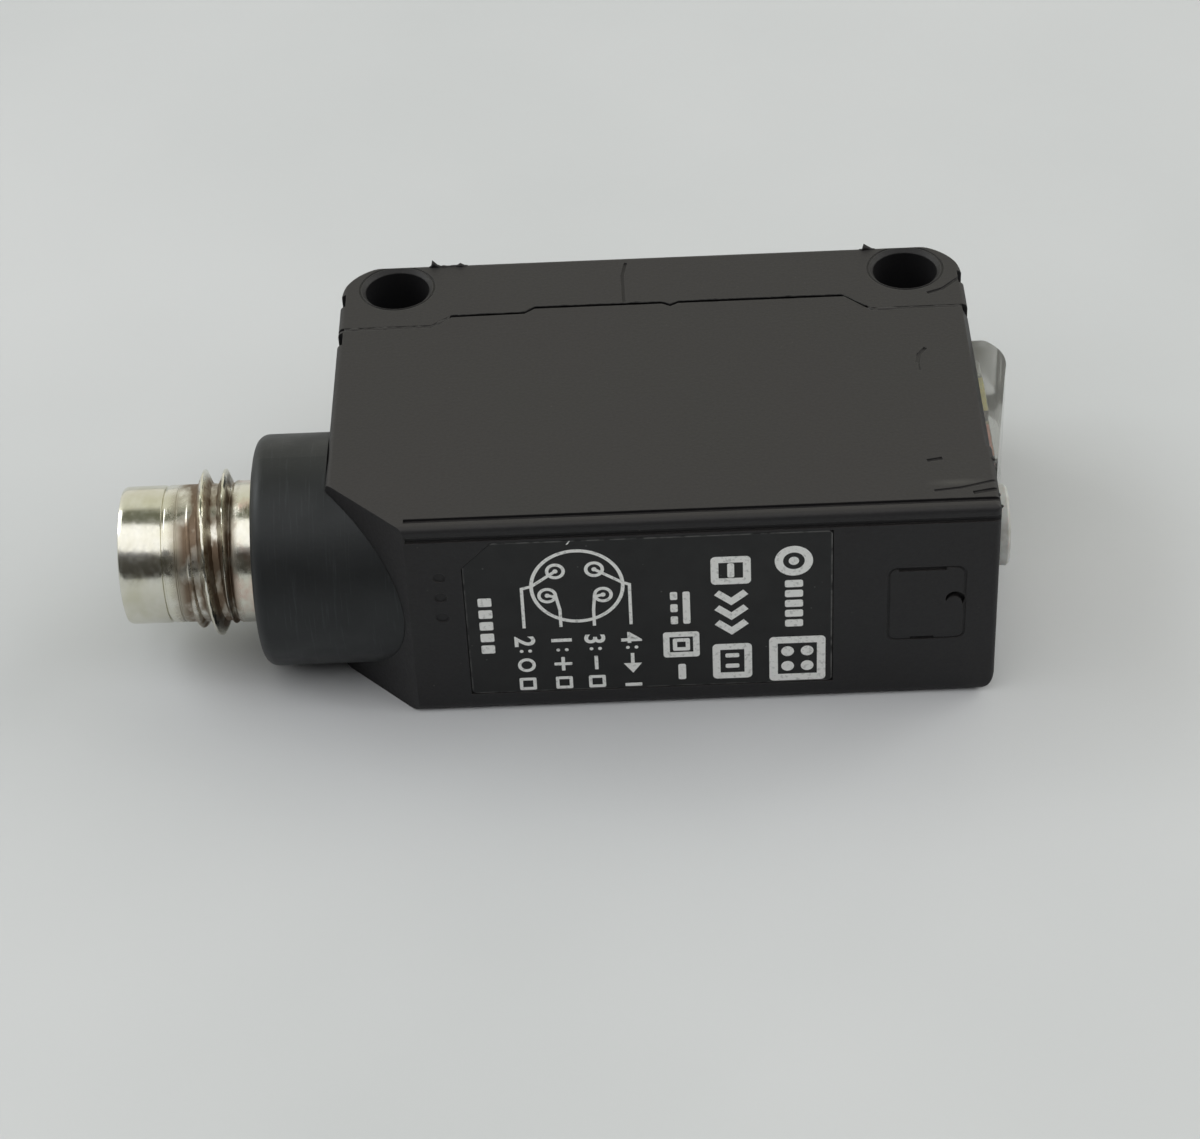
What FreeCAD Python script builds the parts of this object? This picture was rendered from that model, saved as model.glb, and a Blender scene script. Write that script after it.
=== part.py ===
import FreeCAD, Part
import math
import os

# Compact photoelectric sensor: two-piece black housing, lens face with two
# mounting holes, threaded plug on one end, indicators and two adjusters on the
# other. Millimetres. The origin is the middle of the two-hole pattern on the
# lower side face. +X runs to the indicator end, +Y to the lens face, +Z across
# the thin side of the housing.

# ---------------------------------------------------------------- dimensions
LENGTH = 31.0              # along X, end wall to end wall
THICK = 11.2               # along Z, side face to side face
LENS_Y = 2.0               # lens face
LABEL_Y = -19.3            # label face
WALL = 1.1

HOLE_PITCH = 25.4
HOLE_R = 1.6               # clearance for M3
EAR_R = 2.8                # outer corners, round the holes
RING_R = 1.82              # fine groove that leaves a rim round each hole

BEVEL = 3.7                # bevelled corner between connector end and label face
FOOT_R = 1.2               # lower edge of the indicator end
EDGE_R = 0.3

SEAM_GAP = 0.2             # between the two halves of the housing
SEAM_MID_Y = -2.05
SEAM_EAR_Y = -3.3
TONGUE = 0.7               # thickness of the rim that joins the halves

PLUG_Y = -13.45            # connector axis
PLUG_Z = THICK / 2
COLLAR_R = 5.55
COLLAR_OUT = 3.6           # from the end wall
PLUG_OUT = 10.1            # from the end wall to the tip
THREAD_R = 4.0             # M8 x 1
SLEEVE_R = 3.3
CAVITY_R = 2.85
PIN_R = 0.5
PIN_SPOTS = [(-0.95, 0.95), (0.95, 0.95), (-1.4, -0.75), (1.4, -0.75)]

COVER_Y = (-14.7, -4.6)    # clear indicator cover
COVER_Z = (1.0, 10.2)
COVER_LOW = 0.3            # how far it stands out, at the two ends of its slope
COVER_HIGH = 1.45
COVER_PEAK_Y = -7.4

KNOB_Y = -16.8             # both adjusters
ADJUSTER_Z = 3.2
ADJUSTER_R = 1.6
ADJUSTER_OUT = -0.05       # its head is sunk in the end wall
SWITCH_Z = 8.15
SWITCH_R = 1.9
SWITCH_OUT = 0.55
KNOB_GAP = 0.05            # running clearance in the wall

LABEL_X = (-9.25, 7.85)
LABEL_Z = (1.05, 10.25)
LABEL_DEEP = 0.15
INSERT_X = (10.35, 14.0)   # outline of a mould insert in the label face
INSERT_Z = (3.45, 7.85)
DOT_X = -10.3              # row of plain mould dots in the label face
DOT_Z = (5.9, 7.1, 8.3)
DOT_R = 0.28

LENS_X = 4.6               # lens axes, either side of the middle
LENS_R = 3.2
BOARD = 0.8

END_X = LENGTH / 2
COLLAR_X = -END_X - COLLAR_OUT
TIP_X = -END_X - PLUG_OUT


# ------------------------------------------------------------------- helpers
def block(x, y, z):
    """Box between pairs of limits."""
    size = [b - a for a, b in (x, y, z)]
    return Part.makeBox(*size, FreeCAD.Vector(x[0], y[0], z[0]))


def rod(axis, start, end, centre, radius):
    """Cylinder along an axis, centred on the two other coordinates."""
    low, high = min(start, end), max(start, end)
    spots = {
        "x": FreeCAD.Vector(low, *centre),
        "y": FreeCAD.Vector(centre[0], low, centre[1]),
        "z": FreeCAD.Vector(*centre, low),
    }
    way = {
        "x": FreeCAD.Vector(1, 0, 0),
        "y": FreeCAD.Vector(0, 1, 0),
        "z": FreeCAD.Vector(0, 0, 1),
    }
    return Part.makeCylinder(radius, high - low, spots[axis], way[axis])


def cone_y(y0, r0, y1, r1, x, z):
    return Part.makeCone(r0, r1, y1 - y0, FreeCAD.Vector(x, y0, z), FreeCAD.Vector(0, 1, 0))


def plate(points, push):
    """Flat closed outline of 3-D points, pushed along a vector."""
    corners = [FreeCAD.Vector(*p) for p in points]
    wire = Part.makePolygon(corners + corners[:1])
    return Part.Face(wire).extrude(FreeCAD.Vector(*push))


def prism_z(points, z0, z1):
    return plate([(x, y, z0) for x, y in points], (0, 0, z1 - z0))


def turned(profile, axis_y, axis_z):
    """Solid of revolution about a line along X, from (x, radius) points."""
    corners = [FreeCAD.Vector(x, axis_y + r, axis_z) for x, r in profile]
    face = Part.Face(Part.makePolygon(corners + corners[:1]))
    return face.revolve(FreeCAD.Vector(0, axis_y, axis_z), FreeCAD.Vector(1, 0, 0), 360)


def ring_x(x, y, z, major, minor):
    return Part.makeTorus(major, minor, FreeCAD.Vector(x, y, z), FreeCAD.Vector(1, 0, 0))


def edges_along(shape, axis, test):
    """Straight edges parallel to an axis whose middle passes the test."""
    picked = []
    for edge in shape.Edges:
        if not isinstance(edge.Curve, Part.Line):
            continue
        way = edge.Curve.Direction
        if abs(getattr(way, axis)) < 0.999:
            continue
        middle = edge.valueAt((edge.FirstParameter + edge.LastParameter) / 2)
        if test(middle):
            picked.append(edge)
    return picked


def near(a, b, slack=0.02):
    return abs(a - b) < slack


# ------------------------------------------------------------------- housing
def seam_line(y_shift=0.0):
    """Joint between the halves, seen from the side face, from -X to +X."""
    low = SEAM_EAR_Y
    mid = SEAM_MID_Y
    line = [
        (-END_X, low), (-10.9, low), (-9.9, mid - 0.45), (-6.3, mid - 0.4),
        (-5.8, mid), (0.5, mid), (0.9, mid - 0.25), (1.3, mid),
        (9.5, mid), (10.75, low), (END_X, low),
    ]
    return [(x, y + y_shift) for x, y in line]


def edge_envelope():
    """Long block along Y whose four edges carry the housing's edge radii."""
    body = block((-END_X, END_X), (LABEL_Y - 1, LENS_Y + 1), (0, THICK))
    foot = edges_along(body, "y", lambda p: p.x > 0 and p.z < 1)
    body = body.makeFillet(FOOT_R, foot)
    rest = edges_along(body, "y", lambda p: p.x < 0 or (p.x > 0 and p.z > THICK - 0.5))
    return body.makeFillet(EDGE_R, rest)


def long_edge_block():
    """Block along X with the two long edges of the label face rounded."""
    body = block((-END_X - 1, END_X + 1), (LABEL_Y, LENS_Y), (0, THICK))
    lower = edges_along(body, "x", lambda p: p.y < LABEL_Y + 1 and p.z < 1)
    body = body.makeFillet(0.5, lower)
    others = [
        e for e in edges_along(body, "x", lambda p: True)
        if not (e.CenterOfMass.y < LABEL_Y + 1 and e.CenterOfMass.z < 1)
    ]
    return body.makeFillet(EDGE_R, others)


def bevel_start(inset=0.0):
    """Value of x + y along the bevelled corner, moved in by an inset."""
    return -END_X + LABEL_Y + BEVEL + inset * math.sqrt(2)


def plan_outline(inset, top_line):
    """Plan outline of the rear half, closed by a line across the lens side."""
    end = END_X - inset
    back = LABEL_Y + inset
    bevel = bevel_start(inset)
    return [(-end, bevel + end), (bevel - back, back), (end, back)] + top_line[::-1]


def rear_case():
    outer = prism_z(plan_outline(0.0, seam_line(-SEAM_GAP)), 0, THICK)
    corner = edges_along(outer, "z", lambda p: p.x > END_X - 0.1 and p.y < LABEL_Y + 0.1)
    outer = outer.makeFillet(EDGE_R, corner)
    body = outer.common(edge_envelope()).common(long_edge_block())

    inner_line = [(-END_X + WALL, 0.0), (END_X - WALL, 0.0)]
    cavity = prism_z(plan_outline(WALL, inner_line), WALL, THICK - WALL)
    cavity = cavity.makeFillet(0.5, edges_along(cavity, "z", lambda p: p.x > 0 and p.y < -5))
    body = body.cut(cavity)

    body = body.cut(rod("x", -END_X - 1, -END_X + WALL + 1, (PLUG_Y, PLUG_Z), 3.45))
    for z, radius in ((ADJUSTER_Z, ADJUSTER_R), (SWITCH_Z, SWITCH_R)):
        body = body.cut(rod("x", END_X - WALL - 0.6, END_X + 1, (KNOB_Y, z), radius + KNOB_GAP))
    body = body.cut(cover_pocket())
    body = body.cut(label_pocket())
    for rail_z in ((4.1, 4.85), (5.95, 6.7)):
        rail = block((-8, 8), (LABEL_Y + WALL - 0.1, LABEL_Y + WALL + 1.3), rail_z)
        body = body.fuse(rail)
    for cutter in case_grooves():
        body = body.cut(cutter)
    return body.removeSplitter()


def cover_pocket():
    """Window in the end wall, the seat round it and the eased edges beside it."""
    seat = 0.55
    window = block((END_X - WALL - 1, END_X + 1),
                   (COVER_Y[0] + 0.35, COVER_Y[1] - 0.35),
                   (COVER_Z[0] + 0.35, COVER_Z[1] - 0.35))
    pocket = block((END_X - seat, END_X + 1), COVER_Y, COVER_Z)
    pocket = pocket.makeFillet(0.5, edges_along(pocket, "x", lambda p: True))
    ease = 0.3
    start = COVER_Y[0]
    for z, inward in ((THICK, -1), (0, 1)):
        wedge = plate([(END_X + 0.01, start, z + inward * 0.75),
                       (END_X + 0.01, start, z - inward * 0.1),
                       (END_X - ease, start, z - inward * 0.1),
                       (END_X - ease, start, z + inward * 0.1)],
                      (0, SEAM_EAR_Y - start, 0))
        pocket = pocket.fuse(wedge)
    return pocket.fuse(window)


def label_outline(gap):
    """Label corners on X and Z: one corner is cut off."""
    (x0, x1), (z0, z1) = LABEL_X, LABEL_Z
    cut = 1.45
    return [(x0 + gap, z0 + gap), (x1 - gap, z0 + gap), (x1 - gap, z1 - gap),
            (x0 + cut, z1 - gap), (x0 + gap, z1 - cut)]


def label_pocket():
    return plate([(x, LABEL_Y - 1, z) for x, z in label_outline(0.0)],
                 (0, 1 + LABEL_DEEP, 0))


def label_plate():
    face = plate([(x, LABEL_Y + 0.03, z) for x, z in label_outline(0.04)],
                 (0, LABEL_DEEP - 0.03, 0))
    return face.makeFillet(0.25, edges_along(face, "y", lambda p: True))


def frame_groove(x, z, wide, deep, corner):
    """Line groove in the label face, a rectangle with rounded corners."""
    y = (LABEL_Y - 1, LABEL_Y + deep)
    outer = block(x, y, z)
    outer = outer.makeFillet(corner, edges_along(outer, "y", lambda p: True))
    inner = block((x[0] + wide, x[1] - wide), y, (z[0] + wide, z[1] - wide))
    inner = inner.makeFillet(corner - wide, edges_along(inner, "y", lambda p: True))
    return outer.cut(inner)


def insert_mark():
    """Plain closed outline of a mould insert, deeper above and below, and a gate mark."""
    (x0, x1), (z0, z1) = INSERT_X, INSERT_Z
    deep_y = (LABEL_Y - 1, LABEL_Y + 0.13)
    spot = (x1 - 0.5, 5.85)
    dimple = rod("y", LABEL_Y - 1, LABEL_Y + 0.3, spot, 0.45)
    island = rod("y", LABEL_Y - 2, LABEL_Y + 1, (spot[0] - 0.06, spot[1] - 0.24), 0.38)
    return [
        frame_groove(INSERT_X, INSERT_Z, 0.12, 0.06, 0.45),
        block((x0 + 0.5, x0 + 2.7), deep_y, (z1 - 0.24, z1)),
        block((x0 + 1.1, x0 + 2.2), deep_y, (z0, z0 + 0.2)),
        dimple.cut(island),
    ]


def case_grooves():
    """Fine lines of the housing: ridge beside the label face, mould marks."""
    bevel_x = bevel_start() - LABEL_Y
    line_y = LABEL_Y + 0.5
    cutters = [
        block((bevel_x + 0.05, END_X + 1), (line_y, line_y + 0.3), (THICK - 0.16, THICK + 1)),
        block((bevel_x + 0.1, END_X + 1), (LABEL_Y - 1, LABEL_Y + 0.15),
              (THICK - 0.82, THICK - 0.5)),
    ]
    cutters += insert_mark()
    for z in DOT_Z:
        cutters.append(rod("y", LABEL_Y - 1, LABEL_Y + 0.07, (DOT_X, z), DOT_R))
    for x in (-8.0, 8.0):
        cutters.append(rod("z", -1, 0.08, (x, -8.0), 1.25))
    cutters.append(block((-6.0, 6.0), (LABEL_Y + 4.0, LABEL_Y + 4.12), (-1, 0.06)))
    cutters.append(edge_nick(-END_X, -4.15))
    cutters.append(scratch([(13.05, -6.9), (12.75, -7.35), (12.65, -7.9)], 0.2, 0.07))
    cutters.append(scratch([(12.67, -8.0), (12.7, -8.6)], 0.08, 0.04))
    cutters.append(scratch([(12.5, -15.65), (13.0, -15.55)], 0.22, 0.08))
    cutters.append(scratch([(12.6, -17.9), (13.8, -17.75), (15.4, -17.3)], 0.16, 0.07))
    cutters.append(scratch([(14.4, -18.15), (15.4, -17.95)], 0.26, 0.09))
    return cutters


def scratch(points, wide, deep):
    """Shallow line in the upper side face, through points on X and Y."""
    cut = None
    for a, b in zip(points, points[1:]):
        start = FreeCAD.Vector(*a, THICK)
        run = FreeCAD.Vector(*b, THICK) - start
        side = FreeCAD.Vector(-run.y, run.x, 0).normalize() * (wide / 2)
        reach = FreeCAD.Vector(run).normalize() * (wide / 2)
        spots = [start - reach - side, start + run + reach - side,
                 start + run + reach + side, start - reach + side]
        piece = prism_z([(p.x, p.y) for p in spots], THICK - deep, THICK + 1)
        cut = piece if cut is None else cut.fuse(piece)
    return cut


def edge_nick(x, y):
    """Small nick in the upper edge of an end wall."""
    deep = 0.26
    return block((x - deep, x + deep), (y - 0.5, y + 0.5), (THICK - 0.9, THICK + 1))


def front_case():
    corners = seam_line() + [(END_X, LENS_Y), (-END_X, LENS_Y)]
    body = prism_z(corners, 0, THICK)
    ears = edges_along(body, "z", lambda p: p.y > LENS_Y - 0.1)
    body = body.makeFillet(EAR_R, ears)
    body = body.common(edge_envelope()).common(long_edge_block())

    inner = 0.03
    tongue = block((-END_X + WALL + inner, END_X - WALL - inner),
                   (SEAM_EAR_Y - 1.6, SEAM_MID_Y + 0.4),
                   (WALL + inner, THICK - WALL - inner))
    core = block((-END_X + WALL + TONGUE, END_X - WALL - TONGUE),
                 (SEAM_EAR_Y - 2, SEAM_EAR_Y),
                 (WALL + TONGUE, THICK - WALL - TONGUE))
    body = body.fuse(tongue.cut(core))
    body = body.cut(block((-9.5, 9.5), (SEAM_EAR_Y - 2, LENS_Y + 1), (1.8, THICK - 1.8)))
    body = body.cut(lens_seat(0.7))
    for x in (-HOLE_PITCH / 2, HOLE_PITCH / 2):
        body = body.cut(rod("z", -1, THICK + 1, (x, 0), HOLE_R))
        for z in ((-1, 0.06), (THICK - 0.06, THICK + 1)):
            outer = rod("z", *z, (x, 0), RING_R + 0.1)
            body = body.cut(outer.cut(rod("z", *z, (x, 0), RING_R)))
        for z, way in ((THICK + 0.01, -1), (-0.01, 1)):
            start = FreeCAD.Vector(x, 0, z)
            chamfer = Part.makeCone(HOLE_R + 0.2, HOLE_R, 0.2, start, FreeCAD.Vector(0, 0, way))
            body = body.cut(chamfer)
    body = body.cut(rod("y", LENS_Y - 0.12, LENS_Y + 1, (-12.7, THICK / 2), 0.6))
    body = body.cut(scratch([(-1.25, 1.35), (-1.42, 0.3), (-1.38, -1.9)], 0.16, 0.08))
    body = body.cut(scratch([(13.7, -2.2), (14.4, -1.9), (15.4, -0.9)], 0.2, 0.08))
    for x in (-END_X, END_X):
        body = body.cut(edge_nick(x, -0.9))
    return body.removeSplitter()


def lens_seat(y_low, gap=0.0, y_high=LENS_Y + 1):
    seat = block((-9.95 + gap, 9.95 - gap), (y_low, y_high), (0.95 + gap, THICK - 0.95 - gap))
    return seat.makeFillet(0.8 - gap, edges_along(seat, "y", lambda p: True))


# -------------------------------------------------------------------- optics
def front_lens():
    """One clear moulding: flat face outside, two domes inside."""
    sheet = lens_seat(1.0, 0.06, LENS_Y - 0.1)
    rise = 1.15
    radius = (LENS_R ** 2 + rise ** 2) / (2 * rise)
    for x in (-LENS_X, LENS_X):
        ball = Part.makeSphere(radius, FreeCAD.Vector(x, 1.0 - rise + radius, THICK / 2))
        cap = ball.common(rod("y", 1.05 - rise - 0.2, 1.05, (x, THICK / 2), LENS_R + 0.3))
        sheet = sheet.fuse(cap)
    divider = block((-0.25, 0.25), (1.0 - 0.35, 1.05), (2.4, THICK - 2.4))
    return sheet.fuse(divider).removeSplitter()


def lens_seal():
    frame = lens_seat(0.7, 0.08, 1.0)
    return frame.cut(block((-9.5, 9.5), (0, 2), (1.8, THICK - 1.8)))


def optics_holder():
    back, front = -4.6, -0.3
    body = block((-9.4, 9.4), (back, front), (1.9, THICK - 1.9))
    for x in (-LENS_X, LENS_X):
        body = body.cut(cone_y(back + 1.3, 1.3, front + 0.01, 3.3, x, THICK / 2))
        body = body.cut(block((x - 1.5, x + 1.5), (back - 1, back + 1.35),
                              (THICK / 2 - 1.5, THICK / 2 + 1.5)))
    body = body.cut(block((-0.3, 0.3), (front - 1.2, front + 1), (2.2, THICK - 2.2)))
    return body.removeSplitter()


def optics_board():
    return block((-9.0, 9.0), (-4.6 - BOARD, -4.6), (1.95, THICK - 1.95))


def emitter_diode():
    base = block((-LENS_X - 1.3, -LENS_X + 1.3), (-4.6, -4.1),
                 (THICK / 2 - 1.3, THICK / 2 + 1.3))
    dome_y = -3.9
    stem = rod("y", -4.1, dome_y, (-LENS_X, THICK / 2), 0.9)
    ball = Part.makeSphere(0.9, FreeCAD.Vector(-LENS_X, dome_y, THICK / 2))
    ball = ball.common(rod("y", dome_y, dome_y + 1, (-LENS_X, THICK / 2), 1.0))
    return base.fuse(stem).fuse(ball).removeSplitter()


def receiver_diode():
    half = 1.35
    package = block((LENS_X - half, LENS_X + half), (-4.6, -3.7),
                    (THICK / 2 - half, THICK / 2 + half))
    chip = block((LENS_X - 0.8, LENS_X + 0.8), (-3.85, -3.0),
                 (THICK / 2 - 0.8, THICK / 2 + 0.8))
    return package.cut(chip)


# --------------------------------------------------------------- electronics
BOARD_Z = (5.0, 5.0 + BOARD)
BOARD_X = (-10.8, 11.0)
BOARD_Y = (-17.0, -6.3)
END_BOARD_X = (11.7, 11.7 + BOARD)


def main_board():
    body = block(BOARD_X, BOARD_Y, BOARD_Z)
    corner = edges_along(body, "z", lambda p: True)
    body = body.makeFillet(0.5, corner)
    for x, y in ((-9.6, -8.0), (9.6, -8.0)):
        body = body.cut(rod("z", 4, 7, (x, y), 0.6))
    return body


def chip(x, y, size, legs, pitch):
    """Flat package on the main board with gull-wing legs on two sides."""
    wide, deep, tall = size
    z = BOARD_Z[1]
    body = block((x - wide / 2, x + wide / 2), (y - deep / 2, y + deep / 2),
                 (z + 0.1, z + tall))
    for i in range(legs):
        leg_x = x + (i - (legs - 1) / 2) * pitch
        for side in (-1, 1):
            near_y = y + side * (deep / 2 - 0.05)
            far_y = y + side * (deep / 2 + 0.6)
            limits = (min(near_y, far_y), max(near_y, far_y))
            body = body.fuse(block((leg_x - 0.12, leg_x + 0.12), limits, (z, z + 0.2)))
    return body


def control_ic():
    return chip(-0.5, -11.6, (5.2, 4.0, 1.2), 8, 0.65)


def output_transistor():
    return chip(-7.2, -14.2, (2.9, 1.5, 1.0), 3, 0.95)


def voltage_regulator():
    return chip(-7.0, -9.6, (2.9, 1.5, 1.0), 3, 0.95)


def capacitors():
    z = BOARD_Z[1]
    spots = [(4.2, -15.2), (6.2, -15.2), (8.2, -15.2), (-3.6, -15.6), (-3.6, -8.4)]
    pieces = [block((x - 0.6, x + 0.6), (y - 0.45, y + 0.45), (z, z + 0.9)) for x, y in spots]
    pieces.append(rod("z", z, z + 2.2, (7.6, -11.2), 1.7))
    return Part.makeCompound(pieces)


def resistors():
    z = BOARD_Z[0]
    pieces = []
    for row in range(2):
        for i in range(5):
            x = -7.0 + i * 1.7
            y = -14.6 + row * 1.5
            pieces.append(block((x - 0.5, x + 0.5), (y - 0.28, y + 0.28), (z - 0.35, z)))
    return Part.makeCompound(pieces)


def receiver_shield():
    """Folded metal can over the receiver amplifier, open at the board."""
    z = BOARD_Z[0]
    outer = block((2.2, 9.0), (-14.0, -8.0), (z - 2.2, z))
    outer = outer.makeFillet(0.3, edges_along(outer, "z", lambda p: True))
    inner = block((2.4, 8.8), (-13.8, -8.2), (z - 2.0, z))
    body = outer.cut(inner)
    for x in (4.0, 5.6, 7.2):
        body = body.cut(rod("z", z - 3, z - 1.5, (x, -11.0), 0.35))
    return body


def link_pins(count, pitch, place):
    """Row of small square pins between two boards."""
    pieces = [place((i - (count - 1) / 2) * pitch) for i in range(count)]
    return Part.makeCompound(pieces)


def optics_link_pins():
    z = BOARD_Z[1]
    return link_pins(6, 1.27, lambda s: block((s - 0.2, s + 0.2), (-7.4, -4.6 - BOARD),
                                              (z, z + 0.4)))


def indicator_link_pins():
    z = BOARD_Z[1]
    y = -10.5
    return link_pins(5, 1.27, lambda s: block((10.0, END_BOARD_X[0]),
                                              (y + s - 0.2, y + s + 0.2), (z, z + 0.4)))


def indicator_board():
    return block(END_BOARD_X, (-18.1, -6.2), (1.5, THICK - 1.5))


BAR_Z = (1.75, THICK - 1.75)
STABILITY_Y = (-10.2, -7.4)
OPERATION_Y = (-13.7, -11.1)
STABILITY_OUT = 0.32       # how far each light bar stands into the cover
OPERATION_OUT = 0.24


def indicator_leds():
    x = END_BOARD_X[1]
    pieces = []
    for span in (STABILITY_Y, OPERATION_Y):
        y = sum(span) / 2
        for z in (3.6, THICK - 3.6):
            pieces.append(block((x, x + 0.7), (y - 0.4, y + 0.4), (z - 0.8, z + 0.8)))
    return Part.makeCompound(pieces)


def light_bar(span, out):
    """Tinted light bar between the lamps and the clear cover."""
    x = END_BOARD_X[1] + 0.7
    bar = block((x, END_X + out), span, BAR_Z)
    return bar.makeFillet(0.2, edges_along(bar, "x", lambda p: True))


def stability_light_bar():
    return light_bar(STABILITY_Y, STABILITY_OUT)


def operation_light_bar():
    return light_bar(OPERATION_Y, OPERATION_OUT)


def indicator_cover():
    """Clear wedge over the lamps: low at the label side, high at the lens side."""
    y0, y1 = COVER_Y[0] + 0.05, COVER_Y[1] - 0.05
    z0, z1 = COVER_Z[0] + 0.05, COVER_Z[1] - 0.05
    top = END_X + COVER_HIGH
    low = END_X + COVER_LOW
    start = FreeCAD.Vector(END_X - 0.4, y0, z0)
    points = [start, FreeCAD.Vector(low, y0, z0), FreeCAD.Vector(top, COVER_PEAK_Y, z0)]
    crown_end = FreeCAD.Vector(END_X + 0.1, y1, z0)
    crown_mid = FreeCAD.Vector(END_X + 1.08, COVER_PEAK_Y + 2.0, z0)
    back = FreeCAD.Vector(END_X - 0.4, y1, z0)
    edges = [
        Part.LineSegment(points[0], points[1]).toShape(),
        Part.LineSegment(points[1], points[2]).toShape(),
        Part.Arc(points[2], crown_mid, crown_end).toShape(),
        Part.LineSegment(crown_end, back).toShape(),
        Part.LineSegment(back, start).toShape(),
    ]
    body = Part.Face(Part.Wire(edges)).extrude(FreeCAD.Vector(0, 0, z1 - z0))
    corners = block((END_X - 1, END_X + 3), (y0, y1), (z0, z1))
    corners = corners.makeFillet(0.45, edges_along(corners, "x", lambda p: True))
    body = body.common(corners)
    for span, out in ((STABILITY_Y, STABILITY_OUT), (OPERATION_Y, OPERATION_OUT)):
        slot = block((END_X - 1, END_X + out + 0.03), (span[0] - 0.04, span[1] + 0.04),
                     (BAR_Z[0] - 0.04, BAR_Z[1] + 0.04))
        body = body.cut(slot)
    hollow = block((END_X - 1, END_X + 0.35), (-7.1, -5.9), (2.2, THICK - 2.2))
    return body.cut(hollow).removeSplitter()


def indicator_cover_seal():
    outer = block((END_X - 0.55, END_X - 0.4), (COVER_Y[0] + 0.06, COVER_Y[1] - 0.06),
                  (COVER_Z[0] + 0.06, COVER_Z[1] - 0.06))
    outer = outer.makeFillet(0.4, edges_along(outer, "x", lambda p: True))
    inner = block((END_X - 1, END_X), (COVER_Y[0] + 0.35, COVER_Y[1] - 0.35),
                  (COVER_Z[0] + 0.35, COVER_Z[1] - 0.35))
    return outer.cut(inner)


# ------------------------------------------------------------- adjuster parts
STEM_R = 0.8
HEAD_X = END_X - WALL + 0.1    # inner end of both heads
SEAL_WIDE = 0.4                # groove for the O-ring
SLOT_DEEP = 0.32
SOCKET_TOP = 13.7


def knob(z, radius, out, slot_turn):
    """Turning part: slotted head, seal groove and stem, about a line along X."""
    base_x = END_BOARD_X[1] + 0.35
    top_x = END_X + out
    groove = (HEAD_X + 0.2, HEAD_X + 0.2 + SEAL_WIDE)
    profile = [
        (base_x, 0), (base_x, STEM_R), (HEAD_X, STEM_R), (HEAD_X, radius),
        (groove[0], radius), (groove[0], radius - 0.38), (groove[1], radius - 0.38),
        (groove[1], radius), (top_x - 0.12, radius), (top_x, radius - 0.12), (top_x, 0),
    ]
    body = turned(profile, KNOB_Y, z)
    floor_x = top_x - SLOT_DEEP
    tail = radius - 0.45
    point = radius - 0.3
    barb_y = KNOB_Y + point - 0.75
    slot = block((floor_x, top_x + 1), (KNOB_Y - tail, KNOB_Y + tail), (z - 0.24, z + 0.24))
    head = plate([(floor_x, barb_y, z - 0.62), (floor_x, barb_y, z + 0.62),
                  (floor_x, KNOB_Y + point, z)], (1 + SLOT_DEEP, 0, 0))
    arrow = slot.fuse(head)
    arrow.rotate(FreeCAD.Vector(0, KNOB_Y, z), FreeCAD.Vector(1, 0, 0), slot_turn)
    return body.cut(arrow).removeSplitter()


def adjuster_rotor():
    return knob(ADJUSTER_Z, ADJUSTER_R, ADJUSTER_OUT, 90)


def mode_switch_rotor():
    return knob(SWITCH_Z, SWITCH_R, SWITCH_OUT, -45)


def knob_seal(z, radius):
    return ring_x(HEAD_X + 0.2 + SEAL_WIDE / 2, KNOB_Y, z, radius - 0.17, 0.18)


def adjuster_o_ring():
    return knob_seal(ADJUSTER_Z, ADJUSTER_R)


def mode_switch_o_ring():
    return knob_seal(SWITCH_Z, SWITCH_R)


def socket(z, tab_side):
    """Fixed base of an adjuster, soldered to the end board."""
    half = 1.6
    x0 = END_BOARD_X[1]
    body = block((x0, SOCKET_TOP), (KNOB_Y - 1.25, KNOB_Y + half), (z - half, z + half))
    body = body.cut(rod("x", x0 + 0.3, SOCKET_TOP + 1, (KNOB_Y, z), STEM_R + 0.05))
    tab_z = z + tab_side * half
    low, high = min(tab_z, tab_z + tab_side * 0.25), max(tab_z, tab_z + tab_side * 0.25)
    for y in (KNOB_Y - 0.9, KNOB_Y + 0.9):
        body = body.fuse(block((x0, x0 + 0.4), (y - 0.3, y + 0.3), (low, high)))
    return body.removeSplitter()


def adjuster_body():
    return socket(ADJUSTER_Z, 1)


def mode_switch_body():
    return socket(SWITCH_Z, -1)


# ----------------------------------------------------------------- connector
FLANGE_X = (COLLAR_X + 0.5, -END_X - 0.9)
FLANGE_R = 4.3
BORE_R = SLEEVE_R + 0.1    # neck and rear spigot of the shell


def connector_collar():
    """Round collar on the end wall, fitted against the bevelled corner."""
    body = rod("x", COLLAR_X, -END_X + BEVEL, (PLUG_Y, PLUG_Z), COLLAR_R)
    rim = [e for e in body.Edges if near(e.CenterOfMass.x, COLLAR_X) and e.Closed]
    body = body.makeFillet(0.6, rim)
    core = prism_z([(-END_X, 10), (-END_X, bevel_start() + END_X),
                    (bevel_start() - LABEL_Y, LABEL_Y), (bevel_start() - LABEL_Y, LABEL_Y - 3),
                    (END_X, LABEL_Y - 3), (END_X, 10)], -2, THICK + 2)
    body = body.cut(core)
    body = body.common(block((-30, 0), (LABEL_Y + 0.05, 0), (0.03, THICK - 0.03)))
    body = body.cut(rod("x", COLLAR_X - 1, FLANGE_X[0], (PLUG_Y, PLUG_Z), BORE_R + 0.05))
    return body.cut(rod("x", FLANGE_X[0], -END_X, (PLUG_Y, PLUG_Z), FLANGE_R + 0.05))


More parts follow.
